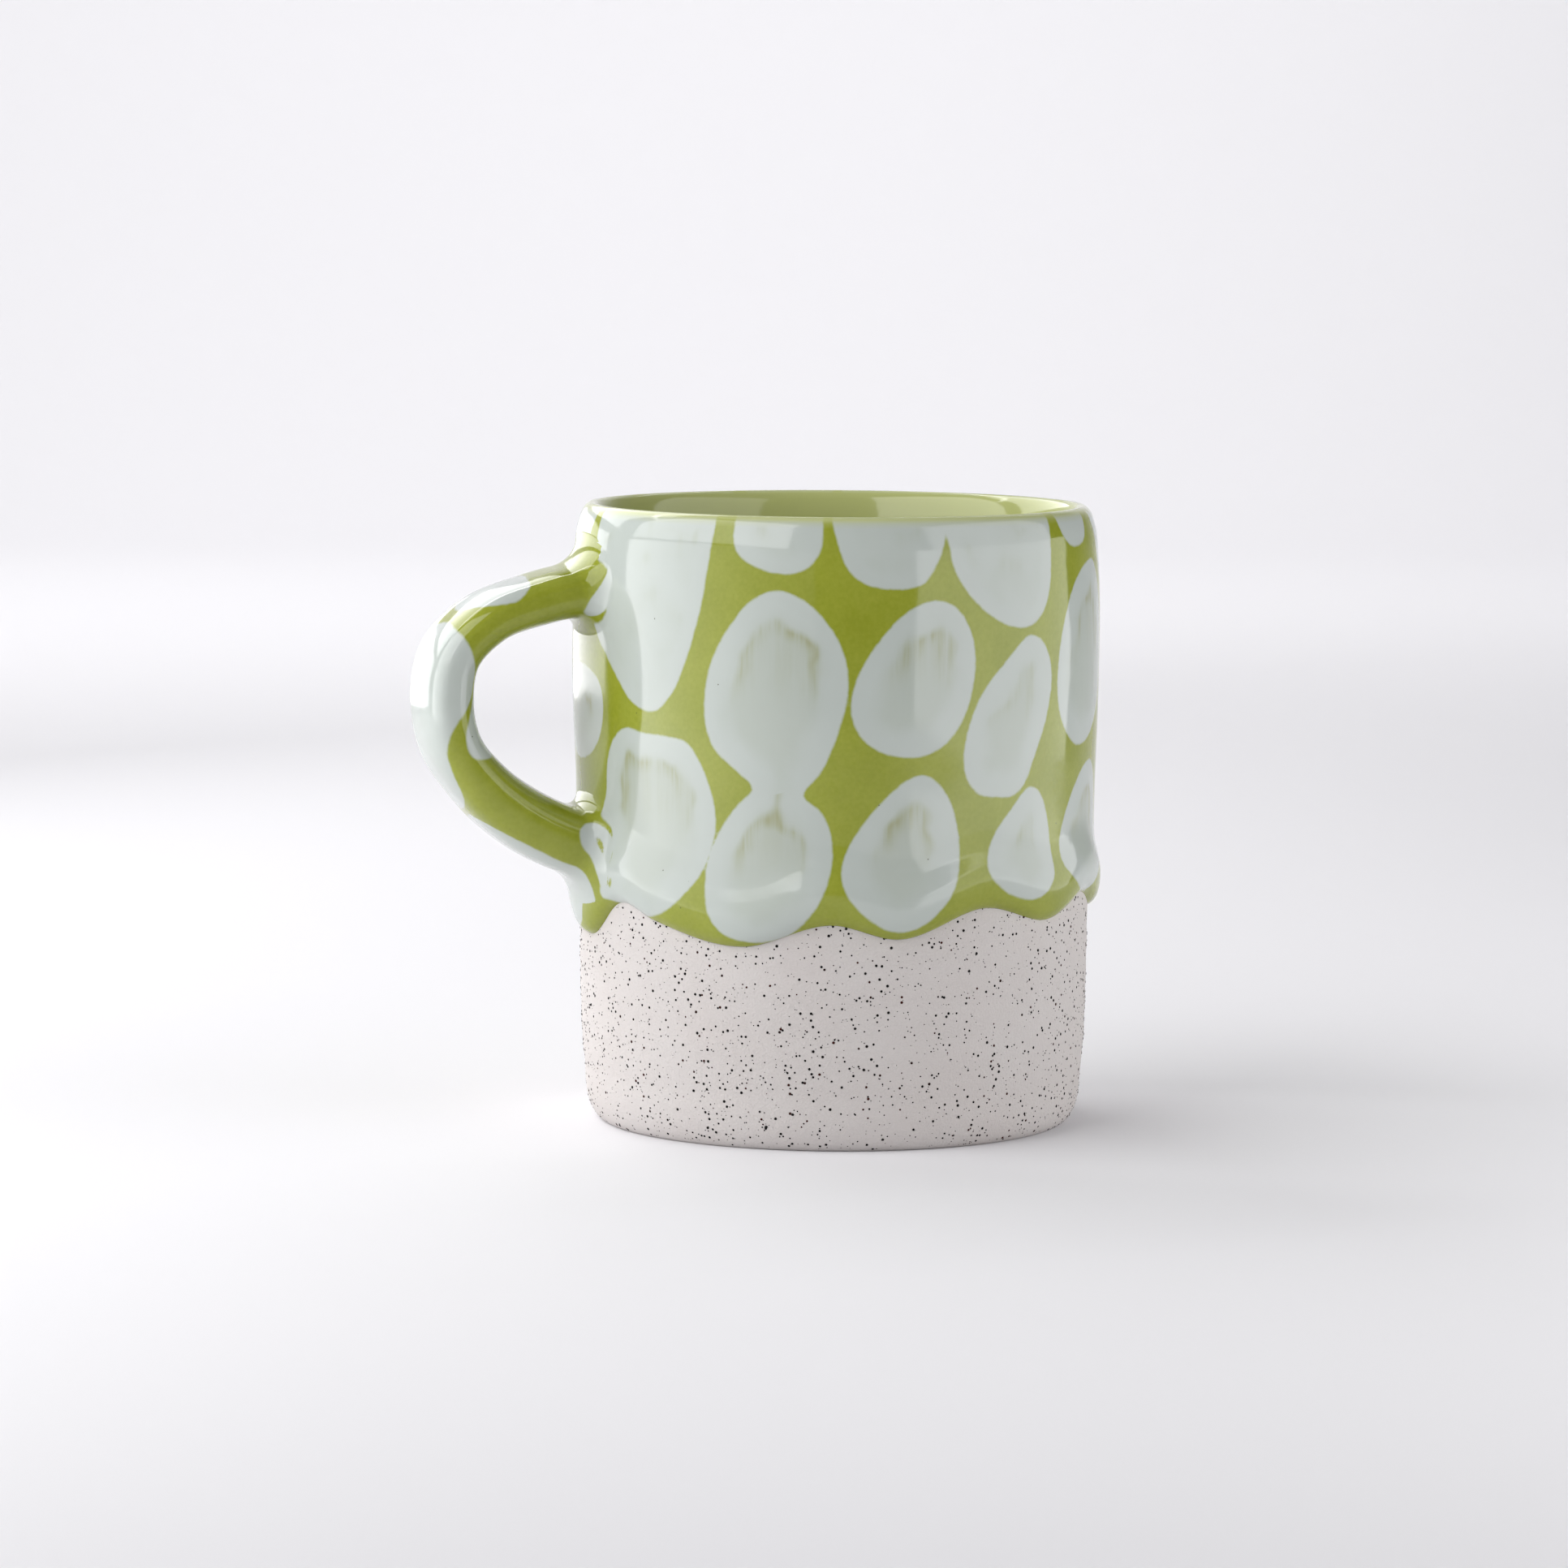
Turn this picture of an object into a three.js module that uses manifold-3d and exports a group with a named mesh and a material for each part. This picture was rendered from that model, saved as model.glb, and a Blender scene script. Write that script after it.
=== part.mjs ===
// A stoneware mug: a thrown cup with a pulled strap handle, a green glaze coat that stops in drips
// above the bare clay, a liner glaze that runs over the lip, and pale glaze dabbed on in spots.
// Millimetres, +Z up. The origin is the centre of the foot, and the handle points along -X.
// "Around" is in degrees anticlockwise from the handle, seen from above; "up" is height above the foot.
import * as THREE from "three";
import { mergeVertices } from "three/addons/utils/BufferGeometryUtils.js";
import Module from "manifold-3d";

const cupHeight = 102.2;
const clayRadius = 42; // outside of the bare clay
const clayBore = 39; // inside of the clay wall
const footRadius = 38.6;
const clayFloor = 6; // height of the clay floor inside the cup
const linerThickness = 0.7;
const coatThickness = 1;
const gap = 0.3; // clearance between neighbouring pieces
const dabThickness = 0.4;
const dabLift = 0.45; // clearance under a dab, which is flatter than the wall it lies on
const coatTop = 99.3; // where the coat meets the liner that runs over the lip
const handleWide = 17.6; // clay strap, without its glaze
const sectionPower = 3; // 2 is an ellipse; more squares the strap's corners
const slipReach = 3.4; // how far each slip joint stands along the strap
const upperRootFlare = 2.6; // how much the strap widens where it joins the cup
const lowerRootFlare = 4.2;
const flareLength = 7;

const latheSteps = 48;
const coatSteps = 72;
const strapSteps = 20;
const sectionSteps = 20;
// Steps round the edge of a dab, and the widest step from its middle to its edge.
const dabLowest = 60; // dabs whose middle is below this reach the rolled edge
const wallDabMesh = { steps: 20, band: 11 };
const beadDabMesh = { steps: 22, band: 4.5 }; // fine enough to follow the rolled edge
const strapDabMesh = { steps: 20, band: 2.6 };

const greenGlaze = { color: 0x9aa53c, roughness: 0.16 };
const linerGlaze = { color: 0xa3ad55, roughness: 0.16 };
const paleGlaze = { color: 0xd3ddd8, roughness: 0.18 };
const bareClay = { color: 0xdcd5d3, roughness: 0.85 };
const slipClay = { color: 0xd2cbc8, roughness: 0.9 };

// Radius of the finished coat by height: nearly straight, a little full below the lip.
const coatRadius = curveThrough([
  [30, 43.1],
  [56, 43],
  [72, 43.5],
  [90, 43.4],
  [96.5, 43.1],
  [coatTop, 42.5],
]);
const coatInside = curveThrough([
  [30, clayRadius + gap],
  [92, clayRadius + gap],
  [96.5, clayRadius + 0.15],
  [coatTop, clayRadius - 0.35],
]);

// Where the drip line turns, as [around, up]: low points are drips, high points the arches between.
const dripLine = curveThrough(
  [
    [6, 32.2],
    [19, 38.2],
    [31, 36],
    [54, 33.1],
    [74, 36.9],
    [88, 34.6],
    [109, 39],
    [129, 36],
    [147, 39.2],
    [166, 35.6],
    [184, 38.4],
    [203, 34.2],
    [222, 38],
    [240, 35.4],
    [258, 38.8],
    [277, 34],
    [296, 37.6],
    [313, 35.2],
    [340, 38.4],
    [352, 33.6],
  ],
  360,
);
// The rolled edge of the coat: how far it stands proud, by height above the drip line.
const bead = [
  [12, 0],
  [9.5, 0.3],
  [6.8, 1.05],
  [3.8, 1.15],
  [1.4, 0.6],
  [0, -0.5],
];
const beadProfile = curveThrough([...bead].reverse());

// The strap's middle line as [reach from the cup's axis, up], from the upper joint to the lower.
const strapLine = new THREE.CatmullRomCurve3(
  [
    [41, 88.3],
    [46, 88],
    [51.2, 86.8],
    [59.6, 83.7],
    [65.3, 78],
    [66.6, 70.2],
    [65.2, 63.3],
    [60.5, 56.8],
    [54, 51.4],
    [47.5, 48],
    [41, 46],
  ].map(([reach, up]) => new THREE.Vector3(-reach, 0, up)),
);
const strapLength = strapLine.getLength();
// Thickness of the clay strap by share of its length.
const strapThick = curveThrough([
  [0, 6.1],
  [0.2, 5.4],
  [0.45, 5.9],
  [0.65, 6.6],
  [0.82, 8],
  [1, 8.6],
]);

// Outlines of the spots as [across, up] from their own middle, clockwise from the head. Those of the
// rim row run on past the top of the coat, which cuts them straight.
const outlines = {
  curtain: [[-7, 19], [7, 20], [13.2, 16], [13, 9], [12, 2], [10, -5], [7.6, -11], [4.8, -14.8],
    [1.4, -16], [-3, -14], [-7.6, -9], [-12.4, -4], [-13, 4], [-13, 14]],
  halfMoon: [[0, 9], [7, 7], [7.6, 1], [6, -3], [3, -4.8], [-2.4, -4.2], [-6, -2], [-7.6, 1.2], [-7, 7]],
  scallop: [[0, 9], [8, 8], [8.6, 2.6], [7.6, -1.2], [4.8, -5.4], [0.8, -6.2], [-4.6, -5.2], [-7.6, -2],
    [-8.7, 3], [-8.4, 8]],
  flag: [[0, 13], [9, 12], [10.2, 6], [10, -2], [8.4, -7.2], [4, -9.9], [-2.4, -8.2], [-7, -4.4],
    [-9.8, 0], [-10.6, 6], [-9.6, 12]],
  shutter: [[0, 6], [5.6, 4], [6, 0], [4.4, -3.6], [1, -5.4], [-3, -5], [-5.6, -2], [-6.6, 3]],
  bigEgg: [[0, 16.4], [3.4, 15.6], [7, 12.8], [10.6, 7], [11.5, 1], [10, -6], [7.6, -12], [3.6, -17],
    [-1.4, -17], [-6, -12.6], [-10.4, -8.4], [-11.5, -3], [-10.6, 4], [-7.6, 10], [-3.4, 15]],
  pebble: [[0, 14.4], [4.4, 12.6], [8.8, 8.2], [10, 3], [9, -3], [6.2, -8], [2.2, -11.2], [-3.6, -11.9],
    [-8.2, -10], [-10, -6], [-10.5, 0], [-8.6, 5], [-4.6, 10.6]],
  egg: [[3, 12.9], [6, 12.2], [9, 8.4], [10.1, 3], [8.6, -5], [5.2, -10], [0.8, -12], [-5.6, -11],
    [-9.2, -7.6], [-10, -3], [-8.8, 1.4], [-5.4, 7], [-1, 11.4]],
  bean: [[3.4, 12.8], [6.8, 11.4], [8.8, 7], [8.2, 1], [6.4, -4], [4.4, -8.4], [2, -12.4], [-2.4, -13],
    [-7.2, -11.8], [-9, -8], [-8.8, -3], [-6, 4], [-1.4, 9]],
  tallEgg: [[3.6, 15], [7.6, 10.6], [10, 2], [8.4, -7], [3.2, -13.2], [-2.4, -15], [-6.4, -13.6],
    [-10, -8.8], [-10.6, -2.6], [-8.6, 6], [-4.4, 12.2]],
  fullMoon: [[-4, 16], [0, 15.6], [4, 15.2], [7.8, 15.6], [11.4, 12], [13.6, 7], [14.5, 1.6], [13, -4.4],
    [10, -9.2], [5.4, -13], [1, -14.2], [-4.8, -13.2], [-12, -11], [-18, -7], [-16, -2], [-10.6, 1.4],
    [-9.8, 8.4], [-7.4, 13.8]],
  roundEgg: [[3.4, 12], [6.8, 9.2], [9, 3.4], [9.2, -1.6], [7.4, -7.4], [3, -12], [-1.4, -13],
    [-6.4, -10.2], [-9.4, -6], [-9.8, -2.6], [-7.4, 3], [-3, 8.4], [0.6, 11.4]],
  drop: [[2, 9.2], [4.4, 8.4], [6.4, 5], [7.6, 0], [7.8, -5.4], [3.6, -8.8], [-3.4, -7.4], [-7.2, -3.4],
    [-6, 1], [-1.8, 6]],
  squat: [[0, 8.4], [4.4, 8], [8.8, 6], [10.2, 2.4], [8.8, -2.8], [4, -6.4], [-4, -7], [-9.6, -3.4],
    [-10.4, 3], [-5.6, 7.6]],
  lowEgg: [[4.6, 11], [8.6, 7.2], [10, 0], [8.4, -7.2], [2, -10.8], [-4, -8.4], [-8.4, -4.2],
    [-7.8, 1], [-3.4, 7.6], [1, 10.6]],
};

// Spots on the cup, each [outline, around, up, lean]; lean turns the outline clockwise, in degrees.
const cupSpots = {
  rim_spot: [
    ["halfMoon", 355, 97.5, 0],
    ["curtain", 28, 86, 0],
    ["halfMoon", 61, 98, 0],
    ["scallop", 86, 97, 0],
    ["flag", 113, 94, 0],
    ["shutter", 139, 102, 0],
    ["flag", 168, 95, 0],
    ["scallop", 200, 97, 0],
    ["curtain", 234, 88, 0],
    ["halfMoon", 266, 97, 0],
    ["flag", 295, 94, 0],
    ["scallop", 326, 97, 0],
  ],
  middle_spot: [
    ["squat", 0, 68, 0],
    ["egg", 91, 76, 0],
    ["bean", 115, 70, 0],
    ["tallEgg", 144, 79, 0],
    ["egg", 174, 74, 10],
    ["tallEgg", 205, 75, 0],
    ["bean", 238, 57, -20],
    ["tallEgg", 266, 75, 0],
    ["egg", 299, 70.6, 0],
    ["tallEgg", 328, 74, 10],
  ],
  lower_spot: [
    ["fullMoon", 28, 51, 0],
    ["roundEgg", 89, 49, 0],
    ["drop", 118, 49, 0],
    ["lowEgg", 144, 50, 0],
    ["roundEgg", 172, 48, 180],
    ["egg", 203, 47, 0],
    ["lowEgg", 259, 48, 0],
    ["roundEgg", 288, 45.5, 0],
    ["egg", 317, 45.5, 0],
  ],
};
// The one spot on the cup that runs into its neighbour below by a neck.
const hourglassLobes = [
  ["bigEgg", 61, 74, 0],
  ["pebble", 60, 46, 0],
];

// Spots on the strap: middle as mm along the strap and degrees round it from the middle of its outer
// face, towards -Y; outline as [round it, back along it] in mm, clockwise.
const strapSpots = {
  handle_crown_spot: {
    along: 18.5,
    turn: 15,
    outline: [[0, 6.5], [5.4, 5.4], [5.5, 0], [3.5, -3.5], [0, -7.5], [-6, -6], [-8, 0], [-5.4, 5.4]],
  },
  handle_back_spot: {
    along: 42,
    turn: 5,
    outline: [[0, 12.5], [7.8, 7.8], [13, 0], [9.2, -9.2], [0, -14], [-8.5, -8.5], [-9, 0], [-7.8, 7.8]],
  },
  handle_inner_spot: {
    along: 41.5,
    turn: 165,
    outline: [[0, 6], [3.5, 3.5], [4.5, 0], [3.5, -3.5], [0, -6.5], [-4, -4], [-5, 0], [-4, 4]],
  },
  handle_under_spot: {
    along: 66,
    turn: -12,
    outline: [[0, 9.5], [4.6, 4.6], [6.5, 0], [5.6, -5.6], [0, -8.5], [-5, -5], [-6.5, 0], [-4.6, 4.6]],
  },
};

const wasm = await Module();
wasm.setup();

// A smooth curve through [place, value] stops. With a period it repeats, as round a cup.
function curveThrough(stops, period = 0) {
  const before = stops.slice(-2).map(([place, value]) => [place - period, value]);
  const after = stops.slice(0, 2).map(([place, value]) => [place + period, value]);
  const all = period ? [...before, ...stops, ...after] : stops;
  const places = all.map(([place]) => place);
  const values = all.map(([, value]) => value);
  const curve = new THREE.CubicInterpolant(places, values, 1);
  return (place) => curve.evaluate(place)[0];
}

// A point on an upright cylinder, given the direction round it.
function onCup(radius, around, up) {
  const angle = THREE.MathUtils.degToRad(180 + around);
  return new THREE.Vector3(radius * Math.cos(angle), radius * Math.sin(angle), up);
}

// The closed solid that a geometry bounds, with doubled corners merged and collapsed faces dropped.
function solidOf(geometry) {
  geometry.deleteAttribute("normal");
  geometry.deleteAttribute("uv");
  const merged = mergeVertices(geometry, 1e-3);
  const corners = merged.index.array;
  const kept = [];
  for (let face = 0; face < corners.length; face += 3) {
    const [a, b, c] = corners.slice(face, face + 3);
    if (a !== b && b !== c && c !== a) kept.push(a, b, c);
  }
  const vertProperties = merged.attributes.position.array;
  return new wasm.Manifold(
    new wasm.Mesh({ numProp: 3, vertProperties, triVerts: new Uint32Array(kept) }),
  );
}

// Joins rings of points into one solid. A looped list joins its last ring to its first; any other
// list starts and ends with a ring shrunk to a point.
function ringedSolid(rings, looped = false) {
  const count = rings[0].length;
  const bands = looped ? rings.length : rings.length - 1;
  const faces = [];
  for (let band = 0; band < bands; band++) {
    const here = band * count;
    const next = ((band + 1) % rings.length) * count;
    for (let step = 0; step < count; step++) {
      const ahead = (step + 1) % count;
      faces.push(here + step, next + step, here + ahead);
      faces.push(here + ahead, next + step, next + ahead);
    }
  }
  return solidOf(new THREE.BufferGeometry().setFromPoints(rings.flat()).setIndex(faces));
}

function turnedSolid(profile) {
  const points = profile.map(([radius, up]) => new THREE.Vector2(radius, up));
  return solidOf(new THREE.LatheGeometry(points, latheSteps).rotateX(Math.PI / 2));
}

// The thrown cup: a flat foot with a small bevel, a wall that opens a little, and a rounded lip.
function clayCup() {
  return turnedSolid([
    [0, 0],
    [footRadius, 0],
    [39.4, 0.7],
    [40.3, 2.6],
    [41, 6],
    [41.6, 13],
    [clayRadius, 24],
    [clayRadius, 92],
    [41.6, 98],
    [41.2, 99.8],
    [40.6, 100.7],
    [40, 100.8],
    [39.3, 100.2],
    [clayBore, 98.4],
    [clayBore, 12],
    [38.3, 8.9],
    [36.4, 6.9],
    [34, 6.2],
    [0, clayFloor],
  ]);
}

// The glaze inside, up the wall and over the lip to where the outer coat begins.
function linerGlazeSolid() {
  const bore = clayBore - gap;
  const finishedBore = bore - linerThickness;
  const underside = clayFloor + gap;
  return turnedSolid([
    [0, underside],
    [33.8, underside + 0.2],
    [36.1, 7.2],
    [38, 9.1],
    [bore, 12.1],
    [bore, 98.5],
    [38.95, 100.5],
    [39.8, 101.3],
    [40.8, 101.2],
    [41.3, 100.5],
    [41.65, coatTop + gap],
    [42.45, coatTop + gap],
    [41.9, 101.2],
    [41.05, cupHeight],
    [40, 102.05],
    [38.9, 101],
    [38.2, 98.7],
    [finishedBore, 94],
    [finishedBore, 12.5],
    [37.3, 9.7],
    [35.7, 7.8],
    [33.6, underside + linerThickness + 0.2],
    [0, underside + linerThickness],
  ]);
}

const coatTurns = Array.from({ length: coatSteps }, (_, step) => (step * 360) / coatSteps);

// The coat's outer face as rings from the top down, each stood off by lift.
function coatFace(lift) {
  const wallRings = [coatTop, 96.5, 88, 72, 54].map((up) =>
    coatTurns.map((around) => onCup(coatRadius(up) + lift, around, up)),
  );
  const beadRings = bead.map(([above, proud]) =>
    coatTurns.map((around) => {
      const up = dripLine(around) + above;
      return onCup(coatRadius(up) + proud + lift, around, up);
    }),
  );
  return [...wallRings, ...beadRings];
}

function coatShell() {
  const edge = coatTurns.map((around) => onCup(coatInside(30), around, dripLine(around) + 0.1));
  const inner = [92, 96.5, coatTop].map((up) =>
    coatTurns.map((around) => onCup(coatInside(up), around, up)),
  );
  return ringedSolid([...coatFace(0), edge, ...inner], true);
}

// Everything inside the coat's outer face, stood off by lift: what the coat's neighbours stay out of.
function coatBlank(lift) {
  const face = coatFace(lift);
  const top = face[0].map(() => new THREE.Vector3(0, 0, coatTop));
  const bottom = face[0].map(() => new THREE.Vector3(0, 0, 30));
  return ringedSolid([top, ...face, bottom]);
}

function rootFlare(along) {
  const fade = (distance) => Math.max(0, 1 - distance / flareLength) ** 2;
  return upperRootFlare * fade(along) + lowerRootFlare * fade(strapLength - along);
}

// A point of the strap's surface, stood off from the clay by lift.
function onStrap(along, turn, lift) {
  const share = THREE.MathUtils.clamp(along / strapLength, 0, 1);
  const angle = THREE.MathUtils.degToRad(turn);
  const squared = (value) => Math.sign(value) * Math.abs(value) ** (2 / sectionPower);
  const grown = lift + rootFlare(along);
  const outward = (strapThick(share) / 2 + grown) * squared(Math.cos(angle));
  const sideways = (handleWide / 2 + grown) * squared(Math.sin(angle));
  const forward = strapLine.getTangentAt(share);
  const outerNormal = new THREE.Vector3(0, 1, 0).cross(forward);
  const point = strapLine.getPointAt(share).addScaledVector(outerNormal, outward);
  point.y -= sideways;
  return point;
}

// A length of strap, stood off by lift, with flat ends.
function strapSolid(from, to, lift) {
  const count = Math.max(3, Math.round((strapSteps * (to - from)) / strapLength));
  const stations = Array.from({ length: count + 1 }, (_, step) => from + ((to - from) * step) / count);
  const sections = stations.map((along) =>
    Array.from({ length: sectionSteps }, (_, step) => onStrap(along, (step * 360) / sectionSteps, lift)),
  );
  const middle = (along) => sections[0].map(() => strapLine.getPointAt(along / strapLength));
  return ringedSolid([middle(from), ...sections, middle(to)]);
}

// The glaze over the strap: an open sleeve, trimmed to the coat at both ends.
function strapGlaze() {
  const outside = strapSolid(0, strapLength, gap + coatThickness);
  const inside = strapSolid(0, strapLength, gap);
  return outside.subtract(inside).subtract(coatBlank(gap));
}

// A thin patch on a surface. place(across, up, lift) puts a point on that surface.
function dab(place, outline, lean, { steps, band }) {
  const corners = outline.map(([across, up]) => new THREE.Vector3(across, up, 0));
  const edge = new THREE.CatmullRomCurve3(corners, true).getSpacedPoints(steps).slice(1).reverse();
  const turned = new THREE.Vector3(0, 0, 1);
  edge.forEach((point) => point.applyAxisAngle(turned, -THREE.MathUtils.degToRad(lean)));
  const ring = (share, lift) => edge.map(({ x, y }) => place(share * x, share * y, lift));
  const bands = Math.ceil(Math.max(...edge.map((point) => point.length())) / band);
  const shares = Array.from({ length: bands + 1 }, (_, step) => step / bands);
  const top = shares.map((share) => ring(share, dabLift + dabThickness));
  const bottom = shares.map((share) => ring(share, dabLift)).reverse();
  return ringedSolid([...top, ...bottom]);
}

// How far the rolled edge stands proud at a place on the cup.
function proudAt(around, up) {
  const above = up - dripLine(THREE.MathUtils.euclideanModulo(around, 360));
  return above < bead[0][0] ? beadProfile(Math.max(0, above)) : 0;
}

function cupDab([outline, around, up, lean]) {
  const place = (across, rise, lift) => {
    const here = around + THREE.MathUtils.radToDeg(across / clayRadius);
    const height = up + rise;
    return onCup(coatRadius(height) + proudAt(here, height) + lift, here, height);
  };
  const low = up < dabLowest;
  return dab(place, outlines[outline], lean, low ? beadDabMesh : wallDabMesh);
}

function strapDab({ along, turn, outline }) {
  const degreesPerMillimetre = 7;
  const place = (across, rise, lift) =>
    onStrap(along - rise, turn + across * degreesPerMillimetre, coatThickness + gap + lift);
  return dab(place, outline, 0, strapDabMesh);
}

const mug = new THREE.Group();

function add(name, solid, finish) {
  const { vertProperties, triVerts } = solid.getMesh();
  const geometry = new THREE.BufferGeometry();
  geometry.setAttribute("position", new THREE.BufferAttribute(vertProperties, 3));
  geometry.setIndex(new THREE.BufferAttribute(triVerts, 1));
  geometry.computeVertexNormals();
  const mesh = new THREE.Mesh(geometry, new THREE.MeshStandardMaterial({ ...finish, metalness: 0 }));
  mesh.name = name;
  mug.add(mesh);
}

// A plain round blank, for cutting with.
function drum(radius, from, to) {
  return turnedSolid([
    [0, from],
    [radius, from],
    [radius, to],
    [0, to],
  ]);
}

const cupWall = drum(clayRadius + gap, 0, cupHeight);
const overLip = drum(cupHeight, coatTop - gap, 2 * cupHeight);
const strapEnd = strapLength - slipReach;
const joints = strapSolid(0, slipReach + 2, gap).add(strapSolid(strapEnd - 2, strapLength, gap));
const sleeve = strapSolid(0, strapLength, coatThickness + gap + gap / 3);
const keepOut = strapSolid(0, strapLength, coatThickness + 3 * gap)
  .add(coatBlank(gap / 3))
  .add(overLip);

add("clay_cup", clayCup(), bareClay);
add("clay_handle", strapSolid(slipReach + gap, strapEnd - gap, 0), bareClay);
add("upper_slip_joint", strapSolid(0, slipReach, 0).subtract(cupWall), slipClay);
add("lower_slip_joint", strapSolid(strapEnd, strapLength, 0).subtract(cupWall), slipClay);
add("liner_glaze", linerGlazeSolid(), linerGlaze);
add("outer_glaze", coatShell().subtract(joints), greenGlaze);
add("handle_glaze", strapGlaze(), greenGlaze);

for (const [row, spots] of Object.entries(cupSpots))
  spots.forEach((spot, index) =>
    add(`${row}_${index + 1}`, cupDab(spot).subtract(keepOut), paleGlaze),
  );
const [upperLobe, lowerLobe] = hourglassLobes.map(cupDab);
add("hourglass_spot", upperLobe.add(lowerLobe).subtract(keepOut), paleGlaze);
for (const [name, spot] of Object.entries(strapSpots))
  add(name, strapDab(spot).subtract(sleeve), paleGlaze);

export default mug;
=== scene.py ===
import math
import bmesh
import bpy
import numpy as np
from mathutils import Matrix, Vector


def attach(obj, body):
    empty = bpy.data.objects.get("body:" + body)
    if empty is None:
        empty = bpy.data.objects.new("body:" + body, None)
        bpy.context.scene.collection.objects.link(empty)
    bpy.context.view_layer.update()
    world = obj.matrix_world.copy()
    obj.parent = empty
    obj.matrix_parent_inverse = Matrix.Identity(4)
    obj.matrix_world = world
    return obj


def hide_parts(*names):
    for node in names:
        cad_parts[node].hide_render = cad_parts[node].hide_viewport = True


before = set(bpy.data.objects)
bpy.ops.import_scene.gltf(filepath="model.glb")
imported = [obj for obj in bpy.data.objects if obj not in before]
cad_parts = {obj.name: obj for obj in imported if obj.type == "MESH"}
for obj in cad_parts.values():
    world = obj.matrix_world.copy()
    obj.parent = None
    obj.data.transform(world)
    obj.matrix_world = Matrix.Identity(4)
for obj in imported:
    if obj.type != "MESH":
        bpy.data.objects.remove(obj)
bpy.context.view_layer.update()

# A dipped stoneware mug. Places on it are given as "around", degrees anticlockwise from the handle
# seen from above, and "up", height over the foot. Sizes in the dictionaries are in millimetres.
mm = 0.001


def toLinear(hexColour):
    # sRGB hex, as a colour picker shows it, to the linear values that shaders use
    channels = [int(hexColour[i:i + 2], 16) / 255 for i in (1, 3, 5)]
    return [c / 12.92 if c <= 0.04045 else ((c + 0.055) / 1.055) ** 2.4 for c in channels] + [1]


def throughStops(stops, places, period=0):
    # a smooth curve through [place, value] stops; with a period it runs on round the mug
    x, y = np.array(stops, float).T
    places = np.asarray(places, float)
    if period:
        x = np.concatenate([x[-2:] - period, x, x[:2] + period])
        y = np.concatenate([y[-2:], y, y[:2]])
        places = np.mod(places, period)
    slope = np.gradient(y, x)
    i = np.clip(np.searchsorted(x, places, side="right") - 1, 0, len(x) - 2)
    h = x[i + 1] - x[i]
    t = np.clip((places - x[i]) / h, 0, 1)
    rising = y[i] * (1 + 2 * t) * (1 - t) ** 2 + y[i + 1] * t ** 2 * (3 - 2 * t)
    return rising + h * t * (1 - t) * (slope[i] * (1 - t) - slope[i + 1] * t)


def ramp(value, low, high):
    # 0 below low, 1 above high, with soft shoulders
    t = np.clip((value - low) / (high - low), 0, 1)
    return t * t * (3 - 2 * t)


def onCup(radius, around, up):
    angle = np.radians(180 + around)
    return np.stack([radius * np.cos(angle), radius * np.sin(angle), up + 0 * angle], -1)


def aroundOf(points):
    return np.mod(np.degrees(np.arctan2(points[..., 1], points[..., 0])) - 180, 360)


def meshFromRings(name, rings, looped=False, poles=()):
    # rings of equal length, joined in order; poles are the points that close the first and last ring
    rows, count = rings.shape[:2]
    verts = rings.reshape(-1, 3)
    here = np.arange(rows if looped else rows - 1)[:, None] * count
    ahead = (here + count) % (rows * count)
    step = np.arange(count)[None]
    turn = (step + 1) % count
    faces = np.stack([here + step, here + turn, ahead + turn, ahead + step], -1).reshape(-1, 4).tolist()
    for index, pole in enumerate(poles):
        verts = np.vstack([verts, pole])
        tip = len(verts) - 1
        edge = (rows - 1) * count * index
        faces += [[tip, edge + s, edge + (s + 1) % count][:: -1 if index == 0 else 1] for s in range(count)]
    mesh = bpy.data.meshes.new(name)
    mesh.from_pydata((verts * mm).tolist(), [], faces)
    tidy = bmesh.new()
    tidy.from_mesh(mesh)
    bmesh.ops.recalc_face_normals(tidy, faces=tidy.faces)
    tidy.to_mesh(mesh)
    tidy.free()
    mesh.shade_smooth()
    piece = bpy.data.objects.new(name, mesh)
    bpy.context.scene.collection.objects.link(piece)
    return piece


def paintAttribute(piece, name, values):
    full = np.full(len(piece.data.vertices), values.min(), np.float32)
    full[:values.size] = values.ravel()
    layer = piece.data.attributes.new(name, "FLOAT", "POINT")
    layer.data.foreach_set("value", full)


def addNode(tree, kind, links=None, **settings):
    # one node: settings go on the node, and links fill its inputs by name or number
    node = tree.nodes.new(kind)
    node.location = (220 * (len(tree.nodes) % 12), -260 * (len(tree.nodes) // 12))
    for key, value in settings.items():
        setattr(node, key, value)
    for socket, value in (links or {}).items():
        target = node.inputs[socket]
        if isinstance(value, bpy.types.NodeSocket):
            tree.links.new(value, target)
        else:
            target.default_value = value
    return node


def newMaterial(name):
    material = bpy.data.materials.new(name)
    material.use_nodes = True
    tree = material.node_tree
    tree.nodes.clear()
    shader = addNode(tree, "ShaderNodeBsdfPrincipled")
    addNode(tree, "ShaderNodeOutputMaterial", {"Surface": shader.outputs[0]})
    return material, tree, shader


cameraPlace = {
    "reach": 1050,      # from the mug's axis, level
    "height": 159.8,
    "azimuth": -16,     # the handle points 16 degrees towards the camera
    "turn": 0.459,
    "tilt": 5.676,      # looking down
    "roll": 0.423,
    "lens": 146.11,
}


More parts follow.
